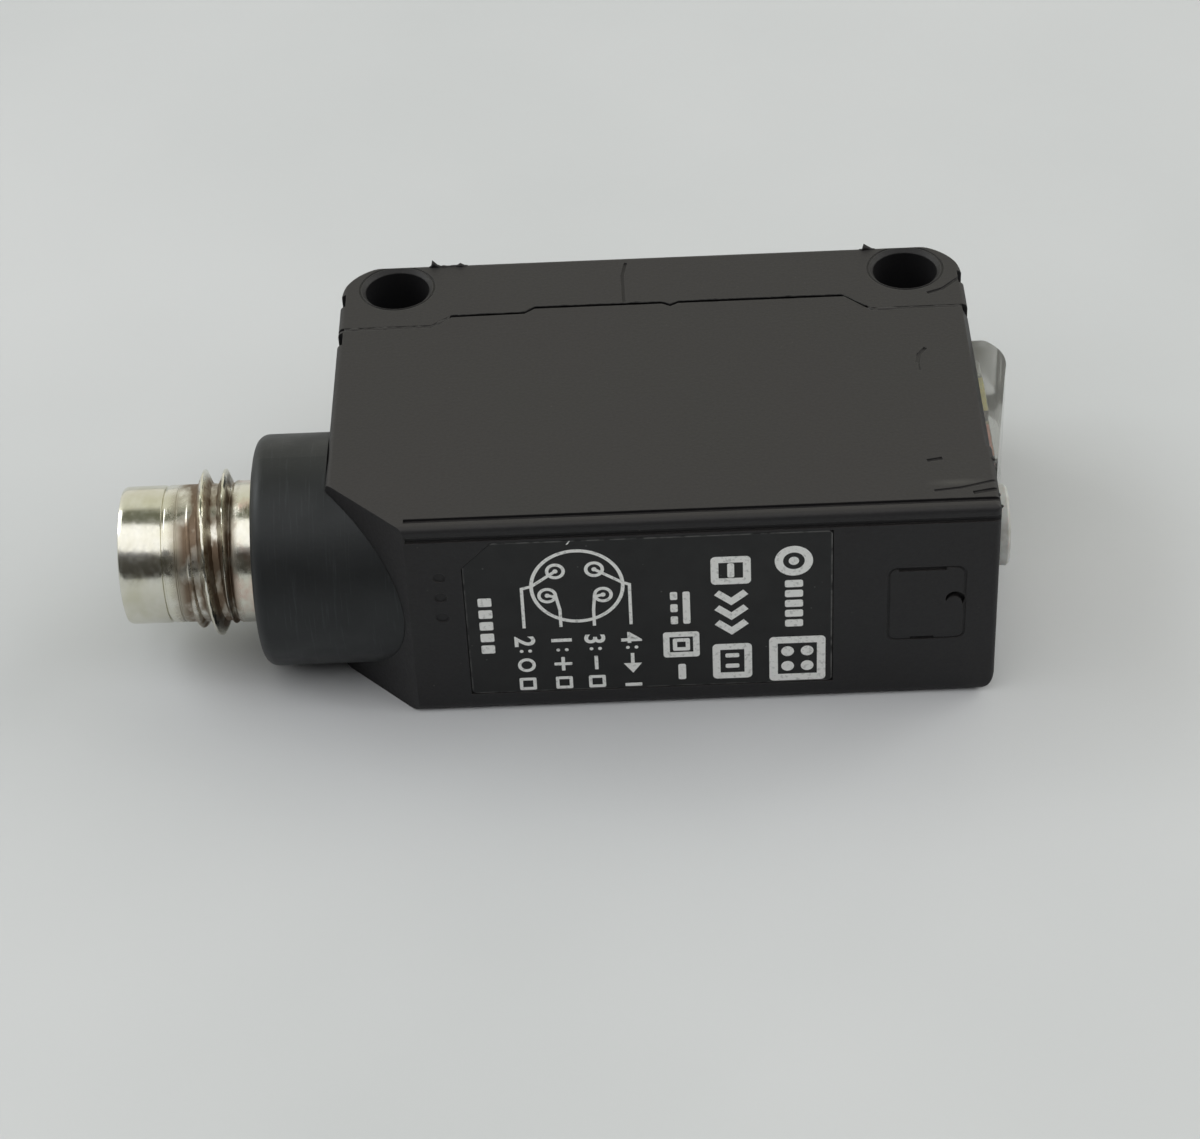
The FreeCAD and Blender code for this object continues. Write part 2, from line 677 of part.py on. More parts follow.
def connector_shell():
    """Plated plug shell: front sleeve, groove, band, thread, neck and flange."""
    thread_x = (TIP_X + 3.3, TIP_X + 5.2)
    groove_x = (-17.7, -16.9)
    end_x = -END_X
    profile = [
        (TIP_X, CAVITY_R + 0.1), (TIP_X, SLEEVE_R - 0.12), (TIP_X + 0.12, SLEEVE_R),
        (TIP_X + 2.05, SLEEVE_R), (TIP_X + 2.1, SLEEVE_R - 0.05),
        (TIP_X + 2.2, SLEEVE_R - 0.05), (TIP_X + 2.25, SLEEVE_R),
        (thread_x[0], SLEEVE_R), (thread_x[0] + 0.35, THREAD_R), (thread_x[1] - 0.3, THREAD_R),
        (thread_x[1], BORE_R), (FLANGE_X[0], BORE_R), (FLANGE_X[0], FLANGE_R),
        (groove_x[0], FLANGE_R), (groove_x[0], 3.6), (groove_x[1], 3.6),
        (groove_x[1], FLANGE_R), (FLANGE_X[1], FLANGE_R), (FLANGE_X[1], BORE_R),
        (end_x, BORE_R), (end_x, CAVITY_R), (TIP_X + 0.15, CAVITY_R),
    ]
    return turned(profile, PLUG_Y, PLUG_Z)


def connector_o_ring():
    return ring_x(-17.3, PLUG_Y, PLUG_Z, 3.96, 0.36)


def connector_lock_ring():
    """Ring behind the flange, with two slots for a pin spanner."""
    x0, x1 = FLANGE_X[1], -END_X
    ring = rod("x", x0, x1, (PLUG_Y, PLUG_Z), FLANGE_R)
    ring = ring.cut(rod("x", x0 - 1, x1 + 1, (PLUG_Y, PLUG_Z), BORE_R + 0.02))
    slots = block((x1 - 0.4, x1 + 1), (PLUG_Y - 0.4, PLUG_Y + 0.4),
                  (PLUG_Z - FLANGE_R - 1, PLUG_Z + FLANGE_R + 1))
    return ring.cut(slots)


CARRIER_X = (TIP_X + 5.0, -END_X)


def pin_places():
    return [(PLUG_Y + u, PLUG_Z + v) for u, v in PIN_SPOTS]


def contact_carrier():
    body = rod("x", *CARRIER_X, (PLUG_Y, PLUG_Z), CAVITY_R - 0.02)
    key = block((TIP_X + 1.2, CARRIER_X[0] + 0.1), (PLUG_Y - 0.35, PLUG_Y + 0.35),
                (PLUG_Z - CAVITY_R + 0.12, PLUG_Z - CAVITY_R + 0.75))
    body = body.fuse(key)
    for place in pin_places():
        body = body.cut(rod("x", CARRIER_X[0] - 1, CARRIER_X[1] + 1, place, PIN_R))
        body = body.cut(rod("x", CARRIER_X[0] - 0.1, CARRIER_X[0] + 0.25, place, PIN_R + 0.12))
    return body.removeSplitter()


def contact_pins():
    pieces = []
    for y, z in pin_places():
        x0, x1 = TIP_X + 1.1, -14.3
        profile = [(x0, 0), (x0, PIN_R - 0.25), (x0 + 0.25, PIN_R), (x1, PIN_R),
                   (x1, 0.32), (x1 - 0.6, 0.32), (x1 - 0.6, 0)]
        pieces.append(turned(profile, y, z))
    return Part.makeCompound(pieces)


def lead_wires():
    """Four insulated leads from the pin cups to pads on the main board."""
    pieces = []
    top = BOARD_Z[1] + 0.31
    for i, (y, z) in enumerate(pin_places()):
        start = FreeCAD.Vector(-14.9, y, z)
        knee = FreeCAD.Vector(-13.6, y, z)
        pad = FreeCAD.Vector(-11.3, PLUG_Y + (i - 1.5) * 1.0, top)
        path = Part.makePolygon([start, knee, pad, pad + FreeCAD.Vector(2.0, 0, 0)])
        edges = path.Edges
        solid = None
        for edge in edges:
            a, b = edge.Vertexes[0].Point, edge.Vertexes[1].Point
            run = Part.makeCylinder(0.28, (b - a).Length, a, b - a)
            ball = Part.makeSphere(0.28, b)
            piece = run.fuse(ball)
            solid = piece if solid is None else solid.fuse(piece)
        pieces.append(solid)
    return Part.makeCompound(pieces)


# -------------------------------------------------------------------- export
NODES = [
    rear_case, front_case, label_plate,
    front_lens, lens_seal, optics_holder, optics_board, emitter_diode, receiver_diode,
    main_board, control_ic, output_transistor, voltage_regulator, capacitors, resistors,
    receiver_shield, optics_link_pins, indicator_link_pins,
    indicator_board, indicator_leds, stability_light_bar, operation_light_bar,
    indicator_cover, indicator_cover_seal,
    adjuster_body, adjuster_rotor, adjuster_o_ring,
    mode_switch_body, mode_switch_rotor, mode_switch_o_ring,
    connector_collar, connector_shell, connector_o_ring, connector_lock_ring,
    contact_carrier, contact_pins, lead_wires,
]

os.makedirs("parts", exist_ok=True)
for make in NODES:
    shape = make()
    name = make.__name__
    sound = shape.isValid() and all(s.isClosed() for s in shape.Shells)
    print(name, "solids", len(shape.Solids), "volume", round(shape.Volume, 2),
          "ok" if sound else "NOT SOUND")
    shape.exportStep("parts/" + name + ".step")
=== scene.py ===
import math
import random

import bpy
import bmesh
from mathutils import Matrix, Vector


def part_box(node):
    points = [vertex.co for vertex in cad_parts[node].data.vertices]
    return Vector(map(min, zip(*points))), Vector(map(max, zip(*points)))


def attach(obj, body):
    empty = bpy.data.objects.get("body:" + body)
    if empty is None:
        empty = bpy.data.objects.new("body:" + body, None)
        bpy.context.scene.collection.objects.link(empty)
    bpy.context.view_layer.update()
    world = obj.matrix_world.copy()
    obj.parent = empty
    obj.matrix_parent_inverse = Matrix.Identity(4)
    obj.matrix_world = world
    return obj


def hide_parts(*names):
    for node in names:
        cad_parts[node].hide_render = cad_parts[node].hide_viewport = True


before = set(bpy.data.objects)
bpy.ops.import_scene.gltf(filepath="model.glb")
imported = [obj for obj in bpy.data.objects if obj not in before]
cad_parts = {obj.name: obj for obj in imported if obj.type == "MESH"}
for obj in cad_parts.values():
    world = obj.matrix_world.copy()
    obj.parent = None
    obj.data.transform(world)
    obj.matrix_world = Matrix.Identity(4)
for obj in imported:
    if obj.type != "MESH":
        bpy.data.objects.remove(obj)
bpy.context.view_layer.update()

# Looks of a compact photoelectric sensor. Sizes below are millimetres in the
# row frame unless a name says otherwise; point() turns them into metres.

MM = 0.001
HOUSING = "housing"


def point(x, y, z):
    return Vector((x * MM, y * MM, z * MM))


def limits(node):
    """Lowest and highest corner of a CAD node in millimetres."""
    low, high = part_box(node)
    return low / MM, high / MM


# ------------------------------------------------------------ camera, stage
VIEW_DOWN = math.radians(39.76)
VIEW_TURN = math.radians(1.29)
VIEW_ROLL = math.radians(-3.05)
VIEW_DISTANCE = 151.9
VIEW_AIM = (-2.97, -15.01, 4.88)
LENS_MM = 95.6
SENSOR_MM = 36
CLIP_START = 0.005         # metres


def make_camera():
    turn = Matrix.Rotation(VIEW_TURN, 3, "Z")
    ahead = turn @ Vector((0, math.cos(VIEW_DOWN), -math.sin(VIEW_DOWN)))
    right = turn @ Vector((1, 0, 0))
    up = turn @ Vector((0, math.sin(VIEW_DOWN), math.cos(VIEW_DOWN)))
    roll_c, roll_s = math.cos(VIEW_ROLL), math.sin(VIEW_ROLL)
    axis_x = right * roll_c + up * roll_s
    axis_y = up * roll_c - right * roll_s
    data = bpy.data.cameras.new("camera")
    data.lens = LENS_MM
    data.sensor_width = SENSOR_MM
    data.clip_start = CLIP_START
    camera = bpy.data.objects.new("camera", data)
    place = point(*VIEW_AIM) - ahead * VIEW_DISTANCE * MM
    camera.matrix_world = Matrix((
        (axis_x.x, axis_y.x, -ahead.x, place.x),
        (axis_x.y, axis_y.y, -ahead.y, place.y),
        (axis_x.z, axis_y.z, -ahead.z, place.z),
        (0, 0, 0, 1),
    ))
    bpy.context.scene.collection.objects.link(camera)
    bpy.context.scene.camera = camera


LIGHT_AIM = (0, -0.009, 0.005)    # metres, as are the places and sizes below
LIGHTS = [                 # name, place, size, watts, colour
    ("front_panel", (-0.02, -0.165, 0.38), (1.8, 0.35), 2.0, (1.0, 0.99, 0.97)),
    ("left_panel", (-0.38, 0.13, 0.32), (0.3, 0.3), 0.85, (0.97, 0.99, 1.0)),
    ("right_panel", (0.38, 0.13, 0.32), (0.3, 0.3), 0.75, (1.0, 0.99, 0.97)),
]


def add_light(name, place, size, watts, colour):
    """Rectangular panel lamp that faces the middle of the sensor."""
    data = bpy.data.lights.new(name, "AREA")
    data.shape = "RECTANGLE"
    data.size, data.size_y = size
    data.energy = watts
    data.color = colour
    light = bpy.data.objects.new(name, data)
    light.location = place
    way = Vector(LIGHT_AIM) - Vector(place)
    light.rotation_euler = way.to_track_quat("-Z", "Y").to_euler()
    bpy.context.scene.collection.objects.link(light)


# Room brightness and tint round the object, from the front horizon (0) over
# the zenith (90 degrees) to the horizon behind (180) and the ground.
ROOM = [
    (0, (0.1, 0.095, 0.085)), (33, (0.12, 0.115, 0.1)), (43, (0.5, 0.5, 0.53)),
    (86, (0.6, 0.6, 0.6)), (95, (0.3, 0.31, 0.23)), (116, (0.32, 0.33, 0.24)),
    (127, (1.5, 1.5, 1.28)), (180, (1.6, 1.58, 1.46)),
]
ROOM_STRENGTH = 0.5
WALL_COLOUR = (0.6, 0.61, 0.58)    # what the camera itself sees beyond the floor


def make_world():
    """A plain room: bright ceiling in front, pale wall behind, dim low in front."""
    world = bpy.data.worlds.new("world")
    world.use_nodes = True
    nodes, links = world.node_tree.nodes, world.node_tree.links
    where = nodes.new("ShaderNodeTexCoord")
    split = nodes.new("ShaderNodeSeparateXYZ")
    links.new(where.outputs["Generated"], split.inputs["Vector"])
    flip = nodes.new("ShaderNodeMath")
    flip.operation = "MULTIPLY"
    flip.inputs[1].default_value = -1
    links.new(split.outputs["Y"], flip.inputs[0])
    angle = nodes.new("ShaderNodeMath")
    angle.operation = "ARCTAN2"
    links.new(split.outputs["Z"], angle.inputs[0])
    links.new(flip.outputs[0], angle.inputs[1])
    share = nodes.new("ShaderNodeMath")
    share.operation = "DIVIDE"
    share.inputs[1].default_value = math.pi
    links.new(angle.outputs[0], share.inputs[0])
    ramp = nodes.new("ShaderNodeValToRGB")
    ramp.color_ramp.interpolation = "EASE"
    stops = ramp.color_ramp.elements
    while len(stops) < len(ROOM):
        stops.new(0.5)
    for stop, (degrees, colour) in zip(stops, ROOM):
        stop.position = degrees / 180
        stop.color = (*colour, 1)
    links.new(share.outputs[0], ramp.inputs["Fac"])
    background = nodes["Background"]
    background.inputs["Strength"].default_value = ROOM_STRENGTH
    links.new(ramp.outputs["Color"], background.inputs["Color"])
    wall = nodes.new("ShaderNodeBackground")
    wall.inputs["Color"].default_value = (*WALL_COLOUR, 1)
    seen = nodes.new("ShaderNodeLightPath")
    either = nodes.new("ShaderNodeMixShader")
    links.new(seen.outputs["Is Camera Ray"], either.inputs["Fac"])
    links.new(background.outputs["Background"], either.inputs[1])
    links.new(wall.outputs["Background"], either.inputs[2])
    links.new(either.outputs["Shader"], nodes["World Output"].inputs["Surface"])
    bpy.context.scene.world = world
    bpy.context.scene.view_settings.view_transform = "Standard"


# ---------------------------------------------------------------- materials
BEVEL_SAMPLES = 6


class Finish:
    """A procedural material: a Principled shader and short ways to feed it."""

    def __init__(self, name, colour, roughness, metallic=0.0):
        self.material = bpy.data.materials.new(name)
        self.material.use_nodes = True
        self.nodes = self.material.node_tree.nodes
        self.links = self.material.node_tree.links
        self.shader = self.nodes["Principled BSDF"]
        self.shader.inputs["Base Color"].default_value = (*colour, 1)
        self.shader.inputs["Roughness"].default_value = roughness
        self.shader.inputs["Metallic"].default_value = metallic
        self.where = self.nodes.new("ShaderNodeTexCoord").outputs["Object"]

    def set(self, socket, value):
        self.shader.inputs[socket].default_value = value

    def feed(self, socket, source):
        self.links.new(source, self.shader.inputs[socket])

    def plug(self, socket, value):
        if isinstance(value, bpy.types.NodeSocket):
            self.links.new(value, socket)
        elif isinstance(value, tuple) and len(value) == 3:
            socket.default_value = (*value, 1)
        else:
            socket.default_value = value

    def noise(self, size_mm, detail=2.0, stretch=(1, 1, 1), rough=0.5, seed=0.0):
        """Noise from 0 to 1 whose blobs are about size_mm across."""
        place = self.nodes.new("ShaderNodeMapping")
        place.inputs["Scale"].default_value = [1 / (size_mm * MM * s) for s in stretch]
        place.inputs["Location"].default_value = (seed, seed * 0.7, seed * 1.3)
        self.links.new(self.where, place.inputs["Vector"])
        node = self.nodes.new("ShaderNodeTexNoise")
        node.inputs["Scale"].default_value = 1.0
        node.inputs["Detail"].default_value = detail
        node.inputs["Roughness"].default_value = rough
        self.links.new(place.outputs["Vector"], node.inputs["Vector"])
        return node.outputs["Fac"]

    def cells(self, size_mm, stretch=(1, 1, 1), seed=0.0):
        """Distance to scattered points, for specks and pits."""
        place = self.nodes.new("ShaderNodeMapping")
        place.inputs["Scale"].default_value = [1 / (size_mm * MM * s) for s in stretch]
        place.inputs["Location"].default_value = (seed, seed, seed)
        self.links.new(self.where, place.inputs["Vector"])
        node = self.nodes.new("ShaderNodeTexVoronoi")
        node.inputs["Scale"].default_value = 1.0
        self.links.new(place.outputs["Vector"], node.inputs["Vector"])
        return node.outputs["Distance"]

    def spread(self, source, low, high, to_low=0.0, to_high=1.0):
        """Maps low..high of a source to to_low..to_high, clamped."""
        node = self.nodes.new("ShaderNodeMapRange")
        node.inputs["From Min"].default_value = low
        node.inputs["From Max"].default_value = high
        node.inputs["To Min"].default_value = to_low
        node.inputs["To Max"].default_value = to_high
        self.links.new(source, node.inputs["Value"])
        return node.outputs["Result"]

    def mix(self, share, first, second):
        node = self.nodes.new("ShaderNodeMix")
        node.data_type = "RGBA"
        sockets = [s for s in node.inputs if s.enabled]
        self.plug(sockets[0], share)
        self.plug(sockets[1], first)
        self.plug(sockets[2], second)
        return [s for s in node.outputs if s.enabled][0]

    def math(self, operation, first, second=0.0):
        node = self.nodes.new("ShaderNodeMath")
        node.operation = operation
        self.plug(node.inputs[0], first)
        self.plug(node.inputs[1], second)
        return node.outputs[0]

    def axis(self, name):
        """One coordinate in millimetres."""
        split = self.nodes.new("ShaderNodeSeparateXYZ")
        self.links.new(self.where, split.inputs["Vector"])
        return self.math("MULTIPLY", split.outputs[name], 1 / MM)

    def facing(self, name):
        """One component of the surface normal."""
        geometry = self.nodes.new("ShaderNodeNewGeometry")
        split = self.nodes.new("ShaderNodeSeparateXYZ")
        self.links.new(geometry.outputs["Normal"], split.inputs["Vector"])
        return split.outputs[name]

    def softened(self, radius_mm):
        """Normals as if the edges were rounded."""
        bevel = self.nodes.new("ShaderNodeBevel")
        bevel.samples = BEVEL_SAMPLES
        bevel.inputs["Radius"].default_value = radius_mm * MM
        return bevel.outputs["Normal"]

    def edge(self, radius_mm, low=0.02, high=0.35):
        """1 on convex and concave edges, 0 on flat faces."""
        geometry = self.nodes.new("ShaderNodeNewGeometry")
        dot = self.nodes.new("ShaderNodeVectorMath")
        dot.operation = "DOT_PRODUCT"
        self.links.new(self.softened(radius_mm), dot.inputs[0])
        self.links.new(geometry.outputs["Normal"], dot.inputs[1])
        return self.spread(self.math("SUBTRACT", 1.0, dot.outputs["Value"]), low, high)

    def bump(self, height, depth_mm, soft_edge_mm=0.0):
        node = self.nodes.new("ShaderNodeBump")
        node.inputs["Strength"].default_value = 1.0
        node.inputs["Distance"].default_value = depth_mm * MM
        self.links.new(height, node.inputs["Height"])
        if soft_edge_mm:
            self.links.new(self.softened(soft_edge_mm), node.inputs["Normal"])
        self.feed("Normal", node.outputs["Normal"])


RUB_AT = (13.6, -17.35)    # pale rubbed streak on the upper side face, on X and Y


def housing_plastic():
    """Spark-textured black PBT, dusty and lightly handled; upward faces are painted paler, as light
    from above together with settled dust.
    """
    f = Finish("housing_plastic", (0.016, 0.016, 0.015), 0.55)
    grain = f.noise(0.16, 3.0, rough=0.6)
    cloud = f.noise(6.0, 4.0, seed=3.0)
    specks = f.spread(f.cells(0.55, seed=1.0), 0.05, 0.1, 1.0, 0.0)
    patches = f.spread(f.noise(2.2, 3.0, seed=9.0), 0.56, 0.7)
    dust = f.math("MULTIPLY", specks, patches)
    edges = f.math("MULTIPLY", f.edge(0.14), f.spread(f.noise(1.2, 4.0, seed=5.0), 0.38, 0.66))
    base = f.mix(f.spread(cloud, 0.3, 0.7), (0.0088, 0.009, 0.0102), (0.0126, 0.0116, 0.0128))
    # Upward faces mixed towards a paler colour: painted light from above, together with settled
    # dust.
    upward_light_and_dust = f.spread(f.facing("Z"), 0.6, 0.95, 0.0, 0.5)
    base = f.mix(f.math("MULTIPLY", upward_light_and_dust, f.spread(cloud, 0.2, 0.8, 0.7, 1.0)), base,
                 (0.0365, 0.0335, 0.0325))
    off_x = f.math("ABSOLUTE", f.math("SUBTRACT", f.axis("X"), RUB_AT[0]))
    off_y = f.math("ABSOLUTE", f.math("SUBTRACT", f.axis("Y"), RUB_AT[1]))
    rub_x = f.spread(off_x, 0.3, 1.5, 1.0, 0.0)
    rub_y = f.spread(off_y, 0.03, 0.3, 1.0, 0.0)
    rub = f.math("MULTIPLY", f.math("MULTIPLY", rub_x, rub_y), upward_light_and_dust)
    base = f.mix(f.math("MULTIPLY", rub, 0.8), base, (0.08, 0.078, 0.072))
    base = f.mix(f.math("MULTIPLY", edges, 0.4), base, (0.06, 0.058, 0.052))
    base = f.mix(f.math("MULTIPLY", dust, 0.4), base, (0.09, 0.085, 0.075))
    f.feed("Base Color", base)
    rough = f.math("ADD", f.spread(grain, 0.2, 0.8, -0.06, 0.06),
                   f.spread(cloud, 0.3, 0.7, 0.5, 0.62))
    f.feed("Roughness", rough)
    f.set("Specular IOR Level", 0.4)
    f.bump(grain, 0.012, 0.08)
    return f.material


def collar_plastic():
    """Smoother satin black moulding, with fine rub marks round it."""
    f = Finish("collar_plastic", (0.01, 0.0105, 0.012), 0.38)
    grain = f.noise(0.22, 2.0, seed=2.0)
    rubs = f.noise(0.8, 4.0, stretch=(0.12, 2.5, 2.5), seed=7.0)
    cloud = f.noise(3.5, 3.0, seed=4.0)
    edges = f.math("MULTIPLY", f.edge(0.12), f.spread(f.noise(0.9, 3.0, seed=6.0), 0.45, 0.65))
    base = f.mix(f.spread(cloud, 0.3, 0.7), (0.0072, 0.0077, 0.0083), (0.0105, 0.011, 0.0117))
    base = f.mix(f.math("MULTIPLY", f.spread(rubs, 0.58, 0.72), 0.45), base, (0.03, 0.032, 0.035))
    base = f.mix(f.math("MULTIPLY", edges, 0.35), base, (0.05, 0.05, 0.05))
    f.feed("Base Color", base)
    f.feed("Roughness", f.spread(f.noise(1.6, 3.0, seed=8.0), 0.3, 0.7, 0.44, 0.56))
    f.set("Specular IOR Level", 0.45)
    f.set("Specular Tint", (0.93, 0.98, 1.0, 1))
    f.bump(grain, 0.006, 0.06)
    return f.material


LABEL_HIGHLIGHT_RIM = 0.09           # how wide the painted highlight along the label's edges is


def label_film():
    """Printed black film with dust specks; the pale broken band along its edges, strongest at the
    upper and end edges, is a painted edge highlight.
    """
    f = Finish("label_film", (0.012, 0.0125, 0.0135), 0.48)
    low, high = limits("label_plate")
    x, z = f.axis("X"), f.axis("Z")
    fade = LABEL_HIGHLIGHT_RIM * 0.4
    top = f.spread(z, high.z - LABEL_HIGHLIGHT_RIM, high.z - fade)
    end = f.spread(x, high.x - LABEL_HIGHLIGHT_RIM, high.x - fade)
    foot = f.spread(z, low.z + fade, low.z + LABEL_HIGHLIGHT_RIM, 0.5, 0.0)
    start = f.spread(x, low.x + fade, low.x + LABEL_HIGHLIGHT_RIM, 0.5, 0.0)
    broken = f.spread(f.noise(0.7, 3.0, seed=11.0), 0.4, 0.56)
    # Pale band along the label's edges: painted highlight. The dust mix below joins this painted
    # highlight with real dust specks.
    rim_highlight = f.math("MAXIMUM", f.math("MAXIMUM", top, end), f.math("MAXIMUM", foot, start))
    specks = f.spread(f.cells(0.9, seed=2.0), 0.03, 0.06, 0.5, 0.0)
    dust = f.math("MAXIMUM", f.math("MULTIPLY", rim_highlight, broken), specks)
    cloud = f.noise(2.5, 4.0, seed=12.0)
    base = f.mix(f.spread(cloud, 0.3, 0.7), (0.006, 0.0066, 0.0072), (0.0085, 0.0088, 0.009))
    base = f.mix(f.math("MULTIPLY", dust, 0.6), base, (0.17, 0.17, 0.165))
    f.feed("Base Color", base)
    f.feed("Roughness", f.spread(f.noise(0.9, 3.0, seed=13.0), 0.3, 0.7, 0.42, 0.55))
    f.set("Specular IOR Level", 0.38)
    f.bump(f.noise(0.12, 2.0), 0.004)
    return f.material


def white_ink():
    """Screen-printed ink, thin in places."""
    f = Finish("white_ink", (0.72, 0.73, 0.71), 0.5)
    thin = f.spread(f.noise(0.18, 3.0, seed=14.0), 0.3, 0.46, 0.75, 0.0)
    f.feed("Base Color", f.mix(thin, (0.88, 0.89, 0.87), (0.5, 0.51, 0.5)))
    f.feed("Roughness", f.spread(f.noise(0.3, 2.0), 0.3, 0.7, 0.45, 0.6))
    f.bump(f.noise(0.08, 2.0), 0.003)
    return f.material


def turned_nickel():
    """Nickel plate over turned brass: fine lathe lines, brown tarnish in the thread."""
    f = Finish("turned_nickel", (0.74, 0.72, 0.64), 0.2, 1.0)
    lathe = f.noise(0.05, 1.0, stretch=(1, 60, 60))
    blotch = f.noise(0.9, 4.0, stretch=(1, 1.6, 1.6), seed=15.0)
    fine = f.noise(0.25, 3.0, seed=16.0)
    y = f.math("SUBTRACT", f.axis("Y"), PLUG_Y)
    z = f.math("SUBTRACT", f.axis("Z"), PLUG_Z)
    radius = f.math("SQRT", f.math("ADD", f.math("MULTIPLY", y, y), f.math("MULTIPLY", z, z)))
    x = f.axis("X")
    thread_start, thread_end = THREAD_X
    in_thread = f.math("MULTIPLY", f.spread(x, thread_start - 0.9, thread_start - 0.1),
                       f.spread(x, thread_end + 0.1, thread_end + 0.5, 1.0, 0.0))
    root = f.spread(radius, SLEEVE_R + 0.25, THREAD_R - 0.08, 1.0, 0.0)
    tarnish = f.math("MULTIPLY", f.math("MULTIPLY", in_thread, root), f.spread(blotch, 0.28, 0.52))
    stain = f.math("MULTIPLY", f.spread(x, thread_end, thread_end + 0.4),
                   f.spread(blotch, 0.5, 0.66))
    base = f.mix(f.spread(blotch, 0.3, 0.7), (0.78, 0.77, 0.7), (0.66, 0.64, 0.52))
    base = f.mix(f.math("MULTIPLY", tarnish, 0.9), base, (0.16, 0.1, 0.06))
    base = f.mix(f.math("MULTIPLY", stain, 0.6), base, (0.62, 0.4, 0.36))
    f.feed("Base Color", base)
    rough = f.math("ADD", f.spread(fine, 0.3, 0.7, 0.12, 0.26), f.math("MULTIPLY", tarnish, 0.35))
    f.feed("Roughness", rough)
    f.bump(f.math("ADD", lathe, f.math("MULTIPLY", fine, 0.5)), 0.0035)
    return f.material


def clear_acrylic(name, colour, roughness, scratch_seed, clearness=1.0):
    """Polished clear moulding with hairline scratches; less clear is milkier."""
    f = Finish(name, colour, roughness)
    f.set("Transmission Weight", clearness)
    f.set("IOR", 1.49)
    hair = f.noise(0.9, 3.0, stretch=(0.06, 1.4, 0.9), seed=scratch_seed)
    film = f.noise(1.3, 3.0, seed=scratch_seed + 2)
    f.feed("Roughness", f.math("ADD", f.spread(hair, 0.62, 0.72, 0.0, 0.14),
                               f.spread(film, 0.35, 0.7, roughness, roughness + 0.06)))
    f.bump(hair, 0.002)
    return f.material


def tinted_bar(name, colour, deep):
    """Translucent coloured light bar."""
    f = Finish(name, colour, 0.3)
    f.set("Subsurface Weight", 0.6)
    f.set("Subsurface Scale", 0.0006)
    f.set("Subsurface Radius", (1.0, 0.7, 0.4))
    streak = f.noise(0.6, 3.0, stretch=(1, 1, 2.5), seed=17.0)
    f.feed("Base Color", f.mix(f.spread(streak, 0.3, 0.7), colour, deep))
    f.feed("Roughness", f.spread(f.noise(0.3, 2.0), 0.3, 0.7, 0.24, 0.38))
    f.bump(f.noise(0.14, 2.0), 0.004)
    return f.material


def knob_plastic():
    """Pale grey acetal with patches of grime."""
    f = Finish("knob_plastic", (0.5, 0.51, 0.49), 0.4)
    grime = f.spread(f.noise(0.5, 4.0, seed=18.0), 0.42, 0.66)
    edges = f.edge(0.1)
    base = f.mix(f.math("MULTIPLY", grime, 0.45), (0.52, 0.53, 0.51), (0.3, 0.29, 0.26))
    base = f.mix(f.math("MULTIPLY", edges, 0.25), base, (0.7, 0.71, 0.69))
    f.feed("Base Color", base)
    f.set("Subsurface Weight", 0.15)
    f.set("Subsurface Scale", 0.0004)
    f.feed("Roughness", f.spread(f.noise(0.4, 2.0), 0.3, 0.7, 0.34, 0.5))
    f.bump(f.noise(0.12, 2.0), 0.005, 0.05)
    return f.material


def simple_grain(name, colour, other, roughness, grain_mm, depth_mm, metallic=0.0):
    """Two close tones in a fine grain, for small or inner parts."""
    f = Finish(name, colour, roughness, metallic)
    grain = f.noise(grain_mm, 3.0, seed=len(name))
    f.feed("Base Color", f.mix(f.spread(f.noise(grain_mm * 8, 3.0), 0.3, 0.7), colour, other))
    f.feed("Roughness", f.spread(grain, 0.25, 0.75, roughness - 0.07, roughness + 0.07))
    f.bump(grain, depth_mm)
    return f.material


def board_mask():
    """Green solder mask over copper tracks."""
    f = Finish("board_mask", (0.02, 0.16, 0.06), 0.35)
    wave = f.nodes.new("ShaderNodeTexWave")
    wave.inputs["Scale"].default_value = 900
    wave.inputs["Distortion"].default_value = 6
    wave.inputs["Detail"].default_value = 1
    f.links.new(f.where, wave.inputs["Vector"])
    tracks = f.spread(wave.outputs["Fac"], 0.45, 0.55)
    f.feed("Base Color", f.mix(tracks, (0.012, 0.11, 0.04), (0.03, 0.2, 0.07)))
    f.feed("Roughness", f.spread(f.noise(0.2, 2.0), 0.3, 0.7, 0.3, 0.45))
    f.bump(tracks, 0.02)
    return f.material


def floor_finish():
    f = Finish("floor_finish", (0.61, 0.62, 0.63), 0.65)
    cloud = f.noise(45.0, 3.0)
    f.feed("Base Color", f.mix(f.spread(cloud, 0.3, 0.7), (0.551, 0.57, 0.584),
                               (0.61, 0.625, 0.642)))
    f.feed("Roughness", f.spread(f.noise(3.0, 3.0), 0.3, 0.7, 0.6, 0.72))
    f.bump(f.noise(1.2, 3.0), 0.01)
    return f.material


# ------------------------------------------------------------- mesh helpers
def object_from(name, bm, material, smooth):
    """Turns a bmesh into an object of the same name with one material."""
    bmesh.ops.recalc_face_normals(bm, faces=bm.faces)
    mesh = bpy.data.meshes.new(name)
    bm.to_mesh(mesh)
    bm.free()
    for polygon in mesh.polygons:
        polygon.use_smooth = smooth
    mesh.materials.append(material)
    made = bpy.data.objects.new(name, mesh)
    bpy.context.scene.collection.objects.link(made)
    return made


def add_piece(name, bm, material, smooth=True):
    """A piece of the sensor; every added piece sits on the housing."""
    piece = object_from(name, bm, material, smooth)
    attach(piece, HOUSING)
    return piece


FLOOR_HALF = 4.0           # metres


def make_floor():
    bm = bmesh.new()
    bmesh.ops.create_grid(bm, x_segments=8, y_segments=8, size=FLOOR_HALF)
    object_from("floor", bm, floor_finish(), True)


